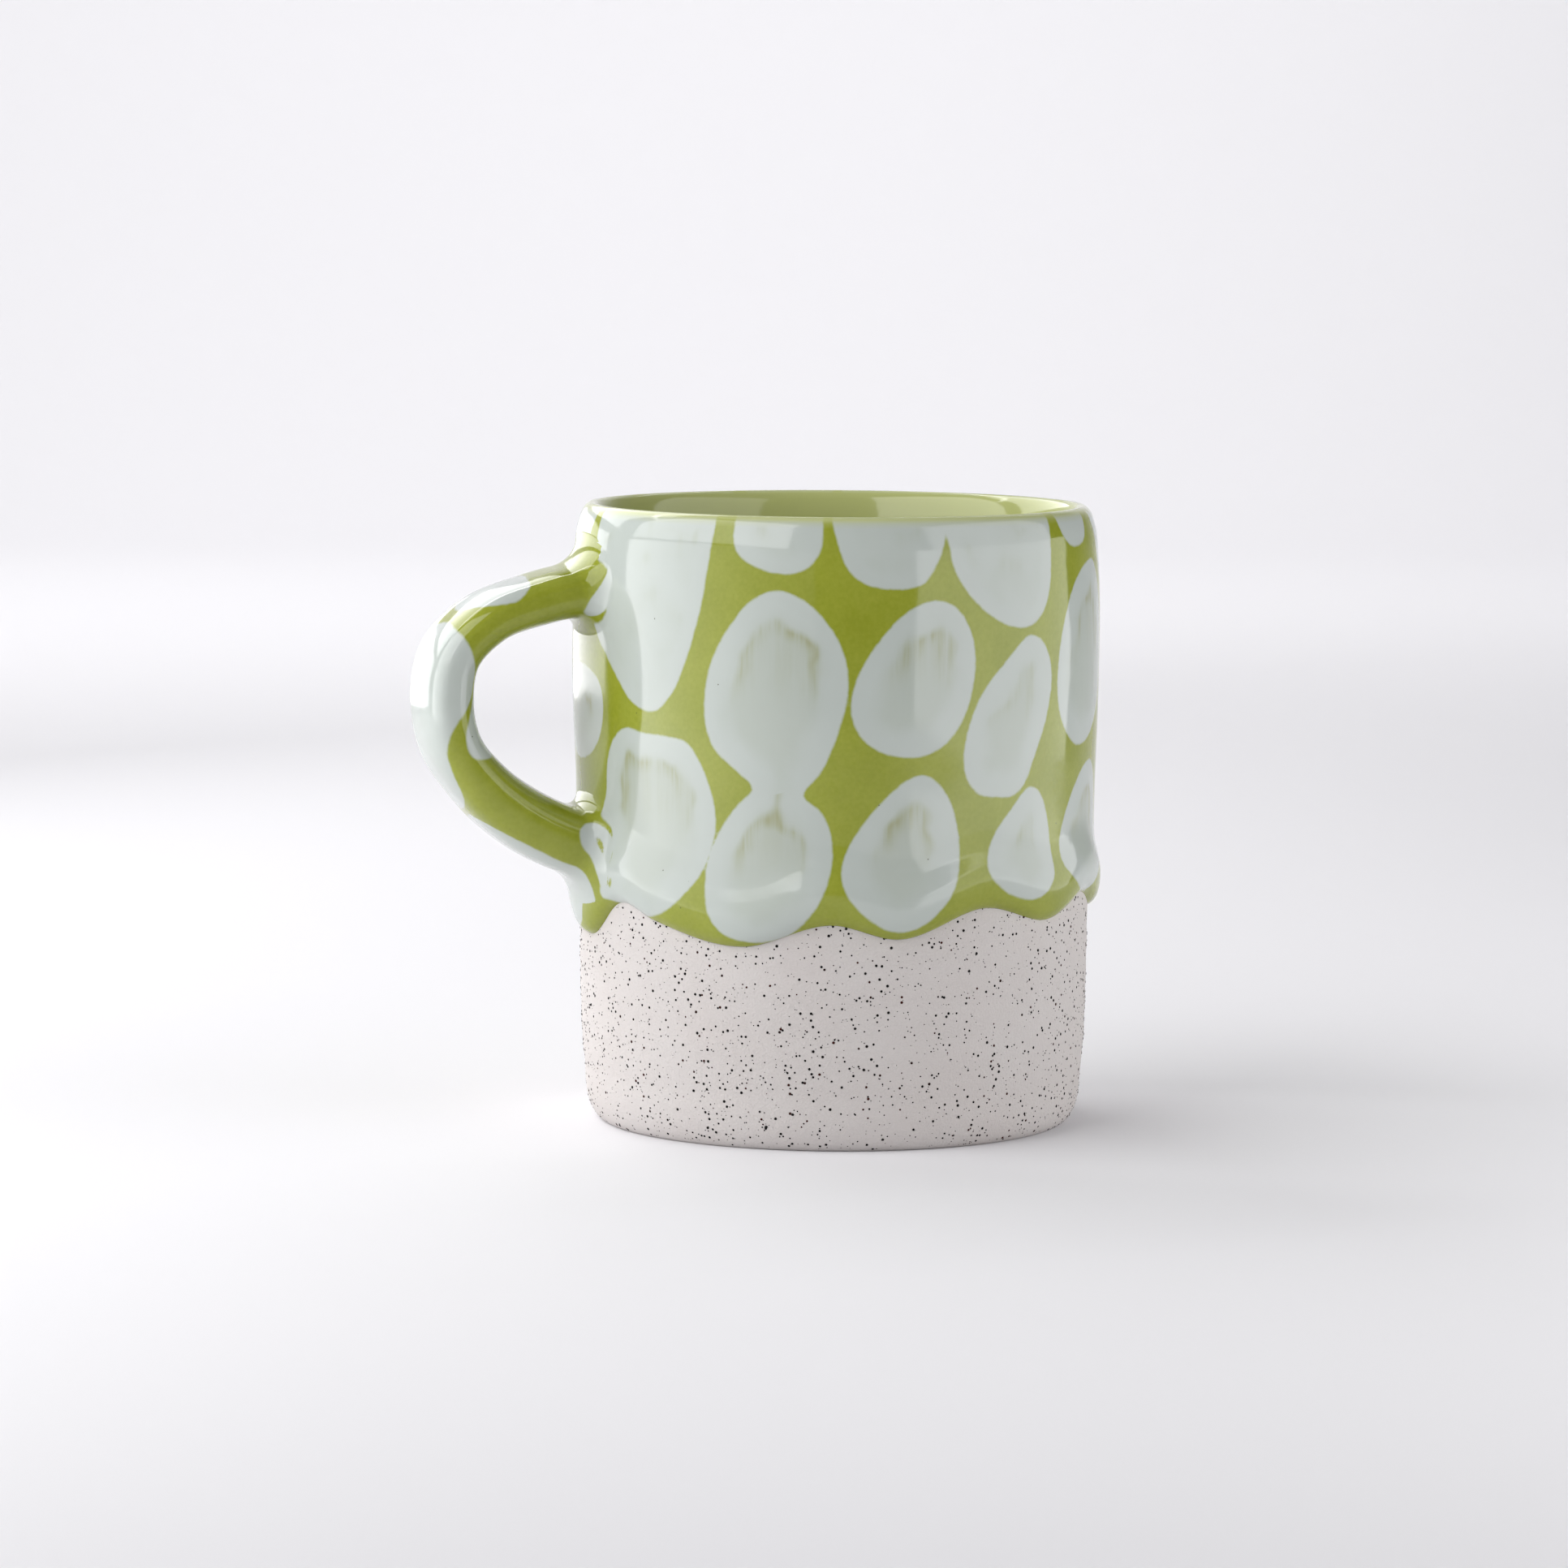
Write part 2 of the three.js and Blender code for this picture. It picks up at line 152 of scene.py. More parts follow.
def setCamera(place):
    data = bpy.data.cameras.new("camera")
    data.lens = place["lens"]
    data.sensor_width = 36
    data.clip_end = 20
    camera = bpy.data.objects.new("camera", data)
    azimuth = math.radians(place["azimuth"])
    across = place["reach"] * mm
    spot = (across * math.sin(azimuth), -across * math.cos(azimuth), place["height"] * mm)
    facing = Matrix.Rotation(azimuth + math.radians(place["turn"]), 4, "Z")
    facing = facing @ Matrix.Rotation(math.radians(90 - place["tilt"]), 4, "X")
    facing = facing @ Matrix.Rotation(math.radians(place["roll"]), 4, "Z")
    camera.matrix_world = Matrix.Translation(spot) @ facing
    bpy.context.scene.collection.objects.link(camera)
    bpy.context.scene.camera = camera


setCamera(cameraPlace)

# Sizes here are in metres. "from" is degrees anticlockwise from the camera's side, seen from above,
# and "glow" is how bright the silk looks, where white paper in full light is 1.
lamps = {
    "leftSilk": {"from": -54, "away": 0.36, "low": 0, "wide": 0.72, "tall": 0.16, "glow": 3.4,
                 "fade": (0, 0.9)},
    "leftWindow": {"from": -60, "away": 0.5, "low": 0.2, "wide": 0.8, "tall": 0.7, "glow": 2.9},
    "backSilk": {"from": -138, "away": 0.42, "low": 0.03, "wide": 0.36, "tall": 0.13, "glow": 2.3},
    "backWindow": {"from": -138, "away": 0.6, "low": 0.25, "wide": 0.6, "tall": 0.6, "glow": 2.9},
    "rightCard": {"from": 75, "away": 0.36, "low": 0, "wide": 0.66, "tall": 0.16, "glow": 2.0},
    "rightWindow": {"from": 75, "away": 0.6, "low": 0.21, "wide": 0.8, "tall": 0.5, "glow": 1.4},
    "overhead": {"from": 180, "away": 0.3, "low": 1.3, "wide": 1.5, "deep": 1.5, "glow": 0.1},
    "paperWash": {"from": 206, "away": 0.9, "low": 1.1, "wide": 2.4, "deep": 0.5, "glow": 6.0, "aim": 1.9},
}
room = {"world": "#eeeef2", "strength": 0.06, "paper": "#eae9ec", "back": 1.5, "front": 1.9, "bend": 0.6,
        "rise": 1.6}


def addLamp(name, lamp):
    data = bpy.data.lights.new(name, "AREA")
    data.shape = "RECTANGLE"
    data.size = lamp["wide"]
    data.size_y = lamp.get("tall", lamp.get("deep"))
    data.energy = lamp["glow"] * math.pi * data.size * data.size_y
    piece = bpy.data.objects.new(name, data)
    angle = math.radians(lamp["from"] + cameraPlace["azimuth"] - 90)
    out = Vector((math.cos(angle), math.sin(angle), 0))
    piece.location = out * lamp["away"]
    piece.location.z = lamp["low"] + lamp.get("tall", 0) / 2
    facing = piece.location - out * lamp.get("aim", 0)
    if "tall" in lamp:
        facing.z = 0
    elif "aim" not in lamp:
        facing = Vector((0, 0, 1))
    piece.rotation_euler = facing.to_track_quat("Z", "Y").to_euler()
    if "fade" in lamp:
        # a silk lit from one end: its light falls off across it
        data.use_nodes = True
        tree = data.node_tree
        spot = addNode(tree, "ShaderNodeNewGeometry")
        across = addNode(tree, "ShaderNodeSeparateXYZ", {0: spot.outputs["Parametric"]})
        shade = addNode(tree, "ShaderNodeMapRange",
                        {0: across.outputs[0], 1: lamp["fade"][0], 2: lamp["fade"][1], 3: 1.0, 4: 0.12},
                        interpolation_type="SMOOTHSTEP")
        tree.links.new(shade.outputs[0], tree.nodes["Emission"].inputs["Strength"])
    piece.visible_camera = False
    bpy.context.scene.collection.objects.link(piece)


for lampName, lamp in lamps.items():
    addLamp(lampName, lamp)


def addBackdrop(room):
    # seamless paper: flat under the mug, bent up behind it and behind the camera
    turns = np.linspace(0, math.pi / 2, 24)
    bend = [(room["bend"] * math.sin(b), room["bend"] * (1 - math.cos(b))) for b in turns]
    rise = bend + [(room["bend"], room["rise"])]
    line = [(-room["front"] - away, up) for away, up in rise[::-1]]
    line += [(room["back"] + away, up) for away, up in rise]
    turn = Matrix.Rotation(math.radians(cameraPlace["azimuth"]), 4, "Z")
    mesh = bpy.data.meshes.new("backdrop")
    verts = [(side, back, up) for back, up in line for side in (-3.0, 3.0)]
    faces = [[2 * i, 2 * i + 1, 2 * i + 3, 2 * i + 2] for i in range(len(line) - 1)]
    mesh.from_pydata(verts, [], faces)
    mesh.transform(turn)
    mesh.shade_smooth()
    backdrop = bpy.data.objects.new("backdrop", mesh)
    bpy.context.scene.collection.objects.link(backdrop)
    material, tree, shader = newMaterial("seamlessPaper")  # matt, dead even
    shader.inputs["Base Color"].default_value = toLinear(room["paper"])
    shader.inputs["Roughness"].default_value = 0.9
    mesh.materials.append(material)
    return backdrop


backdrop = addBackdrop(room)
# the low silk behind the mug is for its edge only, and stays off the paper
offPaper = bpy.data.collections.new("offPaper")
offPaper.objects.link(backdrop)
offPaper.collection_objects[0].light_linking.link_state = "EXCLUDE"
bpy.data.objects["backSilk"].light_linking.receiver_collection = offPaper
world = bpy.data.worlds.new("room")
world.use_nodes = True
world.node_tree.nodes["Background"].inputs[0].default_value = toLinear(room["world"])
world.node_tree.nodes["Background"].inputs[1].default_value = room["strength"]
bpy.context.scene.world = world
bpy.context.scene.view_settings.view_transform = "Standard"
print("camera, backdrop and lights are up")


glazeShape = {
    "wall": [(30, 43.1), (56, 43), (72, 43.5), (90, 43.4), (96.5, 43.1)],  # up, radius
    "lip": [(43.1, 96.5), (42.9, 98), (42.45, 99.7), (41.9, 101.1), (41.05, 102.2 - 0.25), (40.5, 102.2),
            (39.8, 101.95), (39.2, 101.1), (38.75, 99.9), (38.4, 98.4), (38.2, 97)],  # radius, up
    "under": [(38.5, 97), (38.9, 98.8), (39.3, 100.6), (40, 101.2), (40.8, 101.1), (41.5, 99.9),
              (41.9, 97), (42.25, 92), (42.25, 60), (42.2, 46)],  # the hidden face, next to the clay
    "drip": [(6, 32.2), (19, 38.2), (31, 36), (54, 33.1), (74, 36.9), (88, 34.6), (109, 39), (129, 36),
             (147, 39.2), (166, 35.6), (184, 38.4), (203, 34.2), (222, 38), (240, 35.4), (258, 38.8),
             (277, 34), (296, 37.6), (313, 35.2), (340, 38.4), (352, 33.6)],  # around, up
    "roll": [(0, -1.12), (0.12, -0.8), (0.5, -0.25), (1.3, 0.4), (2.6, 0.88), (4.2, 1.14), (6.2, 1.12),
             (8.2, 0.72), (10.2, 0.28), (12.6, 0)],  # up from the drip line, out from the wall
    "wobble": 0.05,
    "around": 640,
    "rollRows": 30,
    "wallRows": 84,
    "lipRows": 16,
}


def glazeFace(around, up):
    # radius of the finished glaze on the cup, rolled edge and all
    above = up - throughStops(glazeShape["drip"], around, 360)
    proud = throughStops(glazeShape["roll"], above)
    turn = np.radians(around)
    sway = np.sin(3 * turn + up / 11) + 0.7 * np.sin(7 * turn - up / 7 + 1)
    sway += 0.5 * np.sin(13 * turn + up / 4)
    return throughStops(glazeShape["wall"], up) + proud + glazeShape["wobble"] * sway


def smoothLoop(loop, spacing=0.5):
    # a closed outline through given points, as a fine polygon
    chords = np.linalg.norm(np.roll(loop, -1, axis=0) - loop, axis=1)
    loop = loop[chords > 0.7]
    chords = np.linalg.norm(np.roll(loop, -1, axis=0) - loop, axis=1)
    starts = np.concatenate([[0], np.cumsum(chords)[:-1]])
    whole = chords.sum()
    places = np.arange(0, whole, spacing)
    return np.stack([throughStops(np.stack([starts, loop[:, k]], 1), places, whole) for k in (0, 1)], 1)


def depthInside(loop, points):
    # how far inside a closed outline each point lies; below 0 it is outside
    a = loop
    edge = np.roll(loop, -1, axis=0) - a
    apart = points[:, None] - a[None]
    share = np.clip((apart * edge).sum(-1) / (edge ** 2).sum(-1), 0, 1)
    distance = np.sqrt((((apart - share[..., None] * edge) ** 2).sum(-1)).min(1))
    level = (apart[..., 1] >= 0) != (apart[..., 1] >= edge[:, 1])
    side = apart[..., 0] < edge[:, 0] * apart[..., 1] / np.where(edge[:, 1] == 0, 1e-9, edge[:, 1])
    inside = (level & side).sum(1) % 2 == 1
    return np.where(inside, distance, -distance)


spotPaint = {
    "unroll": 43.3,       # radius at which an arc is measured
    "cutAbove": 98,       # an outline that reaches this height runs on over the lip
    "runOver": 5,
    "oneDab": 45,         # an outline taller than this is two dabs that ran together
    "waist": 58,          # height at which they meet
    "plain": 3,           # plain dabs are as thick all over as this far inside their edge
    "reach": 9,           # the field is worked out this far round each spot
}


def spotOutline(node):
    # the edge of a dab's upper skin, unrolled to (arc, up) about its own middle
    shell = bmesh.new()
    shell.from_mesh(node.data)
    bmesh.ops.remove_doubles(shell, verts=shell.verts, dist=1e-6)
    shell.normal_update()
    skin = set()
    for face in shell.faces:
        out = face.calc_center_median().xy.normalized()
        if face.normal.xy.dot(out) > 0.35:
            skin.add(face)
    nextVert = {}
    for edge in shell.edges:
        mine = [face for face in edge.link_faces if face in skin]
        if len(mine) == 1:
            loop = next(l for l in mine[0].loops if l.edge == edge)
            nextVert[loop.vert.index] = loop.link_loop_next.vert.index
    shell.verts.ensure_lookup_table()
    longest = []
    while nextVert:
        start, ring = next(iter(nextVert)), []
        while start in nextVert:
            ring.append(start)
            start = nextVert.pop(start)
        if len(ring) > len(longest):
            longest = ring
    points = np.array([shell.verts[i].co / mm for i in longest])
    shell.free()
    middle = aroundOf(points.mean(0))
    off = np.mod(aroundOf(points) - middle + 180, 360) - 180
    loop = np.stack([np.radians(off) * spotPaint["unroll"], points[:, 2]], 1)
    overLip = loop[:, 1] > spotPaint["cutAbove"]
    loop[:, 1] += spotPaint["runOver"] * overLip
    return middle, smoothLoop(loop), overLip.any()  # a dab cut by the lip is plain


spotNodes = [name for name in sorted(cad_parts)
             if name.startswith(("rim_spot", "middle_spot", "lower_spot", "hourglass_spot"))]
cupSpots = [spotOutline(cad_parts[name]) for name in spotNodes]
# the dab on the strap's lower limb runs down the drip under it: (mm from the handle's line, up)
dripDab = [(-9, 46), (4.4, 46), (4.6, 41), (4.2, 37.5), (3.2, 34.4), (0, 33), (-7, 36), (-10, 41)]
cupSpots.append((0, smoothLoop(np.array(dripDab, float)), True))


def cupSpotField(around, up):
    # depth inside the nearest spot, and height within it from -1 at the foot to 1 at the head
    shape = around.shape
    around, up = around.ravel(), up.ravel()
    depth = np.full(around.size, -spotPaint["reach"], float)
    rise = np.zeros(around.size)
    for middle, loop, isPlain in cupSpots:
        arc = np.radians(np.mod(around - middle + 180, 360) - 180) * spotPaint["unroll"]
        low, high = loop.min(0) - spotPaint["reach"], loop.max(0) + spotPaint["reach"]
        near = (arc > low[0]) & (arc < high[0]) & (up > low[1]) & (up < high[1])
        here = depthInside(loop, np.stack([arc[near], up[near]], 1))
        if isPlain:
            here = np.minimum(here, spotPaint["plain"])
        wins = here > depth[near]
        spots = np.flatnonzero(near)[wins]
        depth[spots] = here[wins]
        foot, head = loop[:, 1].min(), loop[:, 1].max()
        if head - foot > spotPaint["oneDab"] and not isPlain:
            foot = np.where(up[spots] > spotPaint["waist"], spotPaint["waist"], foot)
            head = np.where(up[spots] > spotPaint["waist"], head, spotPaint["waist"])
        rise[spots] = (2 * up[spots] - foot - head) / (head - foot)
    return depth.reshape(shape), rise.reshape(shape)


print(len(cupSpots), "spot outlines read")


def makeOuterGlaze(shape):
    around = np.linspace(0, 360, shape["around"], endpoint=False)
    drip = throughStops(shape["drip"], around, 360)
    rollTop, wallTop = shape["roll"][-1][0], shape["wall"][-1][0]
    above = rollTop * np.linspace(0, 1, shape["rollRows"]) ** 1.6
    share = np.linspace(0, 1, shape["wallRows"] + 1)[1:, None]
    ups = np.vstack([drip + above[:, None], drip + rollTop + (wallTop - drip - rollTop) * share])
    rounds = np.broadcast_to(around, ups.shape)
    face = onCup(glazeFace(rounds, ups), rounds, ups)
    lip = lipLine(shape["lip"], shape["lipRows"])[1:]
    # over the lip "up" goes on as the length of the path, so that a spot can run over it
    path = np.cumsum(np.hypot(*np.diff(np.vstack([[43.1, wallTop], lip]), axis=0).T)) + wallTop
    topSway = glazeFace(around, wallTop + 0 * around) - shape["wall"][-1][1]
    fade = np.linspace(1, 0, len(lip))[:, None]
    lipRings = np.stack([onCup(r + f * topSway, around, z) for (r, z), f in zip(lip, fade)])
    under = [onCup(r + 0 * around, around, z) for r, z in shape["under"]]
    hem = [onCup(42.15 + 0 * around, around, drip + 4), onCup(42.08 + 0 * around, around, drip + 0.15)]
    rings = np.concatenate([face, lipRings, np.array(under), np.array(hem)])
    piece = meshFromRings("outerGlaze", rings, looped=True)
    allUps = np.vstack([ups, np.repeat(path[:, None], len(around), 1)])
    depth, rise = cupSpotField(np.broadcast_to(around, allUps.shape), allUps)
    paintAttribute(piece, "spotDepth", depth)
    paintAttribute(piece, "spotRise", rise)
    paintAttribute(piece, "thinness", 0.85 * ramp(allUps, 100.8, 102))
    return piece


def lipLine(stops, rows):
    stops = np.array(stops, float)
    length = np.concatenate([[0], np.cumsum(np.hypot(*np.diff(stops, axis=0).T))])
    places = np.linspace(0, length[-1], rows + 1)
    return np.stack([throughStops(np.stack([length, stops[:, k]], 1), places) for k in (0, 1)], 1)


outerGlaze = makeOuterGlaze(glazeShape)
print("outer glaze:", len(outerGlaze.data.polygons), "faces")


linerShape = {
    "floor": 7,
    "wall": [(0, 7), (12, 7.02), (24, 7.05), (31, 7.2), (34.2, 7.9), (36.3, 9.6), (37.5, 12.2),
             (37.95, 16), (38, 24), (38, 60), (38, 90), (38.08, 95), (38.24, 97.2), (38.5, 98.4)],
    "back": [(38.75, 98.2), (38.8, 94), (38.75, 20), (38.3, 12.4), (36.8, 9), (34.4, 7.1), (31, 6.5),
             (12, 6.3)],  # the hidden face, next to the clay
    "rows": 150,
    "around": 288,
    "ringPitch": 7.5,     # throwing rings left by the fingers
    "ringDepth": 0.07,
}


def makeLinerGlaze(shape):
    around = np.linspace(0, 360, shape["around"], endpoint=False)
    line = lipLine(shape["wall"], shape["rows"])[1:]
    path = np.cumsum(np.hypot(*np.diff(np.vstack([[0, shape["floor"]], line]), axis=0).T))
    calm = ramp(path, 4, 12) * (1 - ramp(line[:, 1], 84, 94))
    rings = []
    for (radius, up), along, still in zip(line, path, calm):
        swirl = 2 * np.pi * along / shape["ringPitch"] + np.radians(around)
        bump = shape["ringDepth"] * still * np.sin(swirl)
        onFloor = 1 - ramp(radius, 33, 37)
        rings.append(onCup(radius - bump * (1 - onFloor), around, up + bump * onFloor))
    rings += [onCup(r + 0 * around, around, z) for r, z in shape["back"]]
    return meshFromRings("linerGlaze", np.array(rings), poles=[(0, 0, shape["floor"]), (0, 0, 6.3)])


linerGlaze = makeLinerGlaze(linerShape)
print("liner glaze:", len(linerGlaze.data.polygons), "faces")


clayShape = {
    "foot": [(6, 0), (20, 0), (34, 0), (38.2, 0)],
    "outside": [(38.55, 0.12), (39.3, 0.75), (40.1, 2), (40.75, 4), (41, 6), (41.2, 9.3), (41.6, 13.4),
                (41.8, 19), (41.95, 26), (42, 34), (42, 46)],
    "hidden": [(42, 92), (41.6, 98), (41.2, 99.8), (40.6, 100.7), (40, 100.8), (39.3, 100.2), (39, 98.4),
               (39, 14), (38.6, 11), (37, 7.6), (34, 6.2), (20, 6)],  # under the glazes
    "rows": 90,
    "around": 420,
    "ringPitch": 5.2,     # throwing rings, sponged nearly flat
    "ringDepth": 0.035,
    "wobble": 0.05,
}


def makeClayCup(shape):
    around = np.linspace(0, 360, shape["around"], endpoint=False)
    turn = np.radians(around)
    line = lipLine(shape["outside"], shape["rows"])
    rings = [onCup(r + 0 * around, around, z) for r, z in shape["foot"]]
    for radius, up in line:
        still = ramp(up, 3, 8)
        swirl = np.sin(2 * np.pi * up / shape["ringPitch"] + turn)
        sway = np.sin(2 * turn + 0.6 + up / 23) + 0.6 * np.sin(5 * turn - up / 9)
        uneven = shape["ringDepth"] * swirl + shape["wobble"] * sway
        rings.append(onCup(radius + still * uneven, around, up))
    rings += [onCup(r + 0 * around, around, z) for r, z in shape["hidden"]]
    return meshFromRings("clayCup", np.array(rings), poles=[(0, 0, 0), (0, 0, 6)])


clayCup = makeClayCup(clayShape)
print("clay cup:", len(clayCup.data.polygons), "faces")


handleShape = {
    "line": [(41, 88.3), (46, 88), (51.2, 86.8), (59.6, 83.7), (65.3, 78), (66.6, 70.2), (65.2, 63.3),
             (60.5, 56.8), (54, 51.4), (47.5, 48), (41, 46)],  # reach from the axis, up
    "thick": [(0, 8.7), (0.2, 8), (0.45, 8.5), (0.65, 9.2), (0.82, 10.6), (1, 11.2)],  # share of the length
    "wide": 20.2,
    "corner": 3,          # 2 is an ellipse; more squares the corners
    "coat": 1.05,         # how thick the glaze is
    "skirtTop": 3.2,      # the cup's dabs climb this far up the skirts
    "clearTop": 9,        # and keep this far from the middle of the upper root
    "around": 128,
    "rows": 190,
    "filletRows": 16,
    # how far the glaze spreads on the cup and climbs the strap at each root, by turn round the strap
    "upperSpread": [(0, 4.4), (30, 4.2), (60, 3.8), (90, 3.4), (180, 3), (270, 3.4), (300, 3.8),
                    (330, 4.2)],
    "upperClimb": [(0, 4.6), (30, 4.3), (60, 3.8), (90, 3.4), (180, 3.2), (270, 3.4), (300, 3.8),
                   (330, 4.3)],
    "lowerSpread": [(0, 3.8), (40, 3.6), (90, 3.6), (180, 3), (270, 3.6), (320, 3.6)],
    "lowerClimb": [(0, 5.5), (40, 4.6), (90, 3.6), (180, 3), (270, 3.6), (320, 4.6)],
}
# Pale dabs on the strap, as (mm along it from the upper root, mm round it from the middle of its
# outer face, towards the camera's side).
handleSpots = {
    "crown": [(11, -3), (11.5, 4), (12.5, 8.6), (15, 10.4), (18, 9.6), (20.5, 6.5), (22, 2), (21, -4),
              (17, -8), (13, -7)],
    "back": [(24.5, 0), (24.5, 7), (25.5, 12.5), (28.5, 15.4), (33, 15.8), (36.5, 14), (39.5, 11.4),
             (42, 9.8), (45.5, 8.8), (48.5, 7.6), (50.5, 5), (51.5, 1), (51.5, -4), (49, -9), (43, -12),
             (34, -12), (27, -7)],
    "inner": [(31, 18.8), (34, 16.6), (37.5, 14.9), (41.5, 13.4), (44.5, 13.4), (46.3, 15.5),
              (46.7, 18.5), (45.5, 22), (40.5, 24), (34, 22)],
    "under": [(52.5, 3), (54.5, 7), (58, 8.8), (62, 9.6), (67, 9.6), (71, 9.6), (75, 9.2), (80, 8.2),
              (85, 6.6), (89, 4), (89, -3), (84, -6), (75, -8), (65, -7), (56, -5)],
    "upperRoot": [(-6, 12.9), (0, 13), (3.4, 13.8), (4.4, 15.6), (3.6, 17.6), (0, 19), (-6, 19)],
    "lowerRoot": [(67.5, 15.6), (68.6, 13.4), (71.5, 12.4), (75, 12.4), (79, 12.8), (84, 13.2),
                  (94, 14), (94, 36), (86, 34), (79, 27), (74, 22), (69.5, 18.8)],
}
pinhole = {"along": 71.2, "across": 16.2, "radius": 0.7}  # a bare dot in the lobe on the lower root

linePoints = np.array(handleShape["line"], float)
lineChord = np.concatenate([[0], np.cumsum(np.hypot(*np.diff(linePoints, axis=0).T))])
fineChord = np.linspace(0, lineChord[-1], 1200)
lineStops = [np.stack([lineChord, column], 1) for column in linePoints.T]
fineLine = np.stack([throughStops(stops, fineChord) for stops in lineStops], 1)
fineAlong = np.concatenate([[0], np.cumsum(np.hypot(*np.diff(fineLine, axis=0).T))])
strapLength = fineAlong[-1]
fineSlope = np.gradient(fineLine, fineAlong, axis=0)


def onStrap(along, turn, lift):
    # a point of the strap's glaze; past its ends the strap runs straight on
    inside = np.clip(along, 0, strapLength)
    columns = (*fineLine.T, *fineSlope.T)
    reach, up, runReach, runUp = [np.interp(inside, fineAlong, column) for column in columns]
    reach, up = reach + runReach * (along - inside), up + runUp * (along - inside)
    size = np.hypot(runReach, runUp)
    angle = np.radians(turn)
    squared = lambda value: np.sign(value) * np.abs(value) ** (2 / handleShape["corner"])
    thick = throughStops(handleShape["thick"], inside / strapLength)
    out = (thick / 2 + lift) * squared(np.cos(angle))
    side = (handleShape["wide"] / 2 + lift) * squared(np.sin(angle))
    # the outer face looks up at the upper root and down at the lower one
    return np.stack([-(reach - out * runUp / size), -side + 0 * reach, up + out * runReach / size], -1)


def overCup(points):
    # height of a point over the glaze of the cup
    radius = np.hypot(points[..., 0], points[..., 1])
    return radius - glazeFace(aroundOf(points), points[..., 2])


def filletRing(turn, lift, height, low, high, rising):
    # the place along the strap where a surface stood off by lift is that high over the cup
    low, high = low + 0 * turn, high + 0 * turn
    for _ in range(26):
        middle = (low + high) / 2
        over = (overCup(onStrap(middle, turn, lift)) > height) == rising
        low, high = np.where(over, low, middle), np.where(over, middle, high)
    return (low + high) / 2


def makeHandleGlaze(shape):
    # even steps of arc, so that the flat faces get as many as the corners
    dense = np.linspace(0, 360, 2881)
    section = onStrap(0 * dense + strapLength / 2, dense, 0)
    walked = np.concatenate([[0], np.cumsum(np.linalg.norm(np.diff(section, axis=0), axis=1))])
    turn = np.interp(np.linspace(0, walked[-1], shape["around"], endpoint=False), walked, dense)
    bends = np.linspace(0, np.pi / 2, shape["filletRows"])
    sunk = [(1.06, -0.01), (1.15, -0.08), (1.25, -0.3)]  # the skirt's edge, let into the cup's glaze

    def skirt(spread, climb, low, high, rising):
        rows = [(spread * (1 - math.cos(b)), climb * (1 - math.sin(b))) for b in bends]
        rows += [(spread * wider, depth + 0 * climb) for wider, depth in sunk]
        return [(filletRing(turn, lift, height, low, high, rising), lift) for lift, height in rows]

    spreads = {key: throughStops(shape[key], turn, 360)
               for key in ("upperSpread", "upperClimb", "lowerSpread", "lowerClimb")}
    upper = skirt(spreads["upperSpread"], spreads["upperClimb"], -14, 12, True)
    lower = skirt(spreads["lowerSpread"], spreads["lowerClimb"], strapLength - 14, strapLength + 14, False)
    first, last = upper[0][0], lower[0][0]
    shares = np.linspace(0, 1, shape["rows"])[1:-1]
    middle = [(first + (last - first) * share, 0 * turn) for share in shares]
    rows = upper[::-1] + middle + lower
    rings = np.array([onStrap(along, turn, lift) for along, lift in rows])
    backAlongs = np.linspace(strapLength + 0.5, -0.5, 40)
    inside = [onStrap(along + 0 * turn, turn, -shape["coat"]) for along in backAlongs]
    piece = meshFromRings("handleGlaze", np.concatenate([rings, np.array(inside)]), looped=True)
    alongs = np.array([row[0] for row in rows])
    step = np.linalg.norm(np.diff(rings, axis=1, append=rings[:, :1]), axis=2)
    walk = np.concatenate([np.zeros((len(rings), 1)), np.cumsum(step, axis=1)[:, :-1]], axis=1)
    across = np.where(turn > 180, walk - step.sum(1)[:, None], walk)
    depth, rise = cupSpotField(aroundOf(rings), rings[..., 2])
    # the dabs on the cup run onto the skirts, but not over the top of the upper root
    onTop = (np.abs(across) <= shape["clearTop"]) & (alongs <= strapLength / 2)
    fromCup = (overCup(rings) < shape["skirtTop"]) & ~onTop
    depth = np.where(fromCup, depth, -spotPaint["reach"])
    flat = np.stack([alongs.ravel(), across.ravel()], 1)
    for loop in handleSpots.values():
        here = depthInside(smoothLoop(np.array(loop, float)), flat).reshape(depth.shape)
        depth = np.maximum(depth, np.minimum(here, spotPaint["plain"]))
    fromHole = np.hypot(*(flat - (pinhole["along"], pinhole["across"])).T).reshape(depth.shape)
    depth = np.minimum(depth, fromHole - pinhole["radius"])
    paintAttribute(piece, "spotDepth", depth)
    paintAttribute(piece, "spotRise", rise)
    paintAttribute(piece, "thinness", 0 * depth)
    return piece


handleGlaze = makeHandleGlaze(handleShape)
print("handle glaze:", len(handleGlaze.data.polygons), "faces")


strapClay = {"under": -1.35, "slipReach": 3.4, "rows": 60, "around": 64}


def makeStrapClay(name, start, end):
    turn = np.linspace(0, 360, strapClay["around"], endpoint=False)
    alongs = np.linspace(start, end, strapClay["rows"])
    rings = [onStrap(along + 0 * turn, turn, strapClay["under"]) for along in alongs]
    middles = [rings[0].mean(0), rings[-1].mean(0)]
    return meshFromRings(name, np.array(rings), poles=middles)


slip = strapClay["slipReach"]
clayStrap = makeStrapClay("clayStrap", slip + 0.3, strapLength - slip - 0.3)
upperSlip = makeStrapClay("upperSlip", 1, slip)
lowerSlip = makeStrapClay("lowerSlip", strapLength - slip, strapLength - 1)
print("strap clay is", round(strapLength, 1), "mm long")


speckShape = {
    "Density": 0.56,      # to the square millimetre
    "Smallest": 0.08,     # radius
    "Largest": 0.28,
    "Flatness": 0.4,
    "Seed": 7,
}


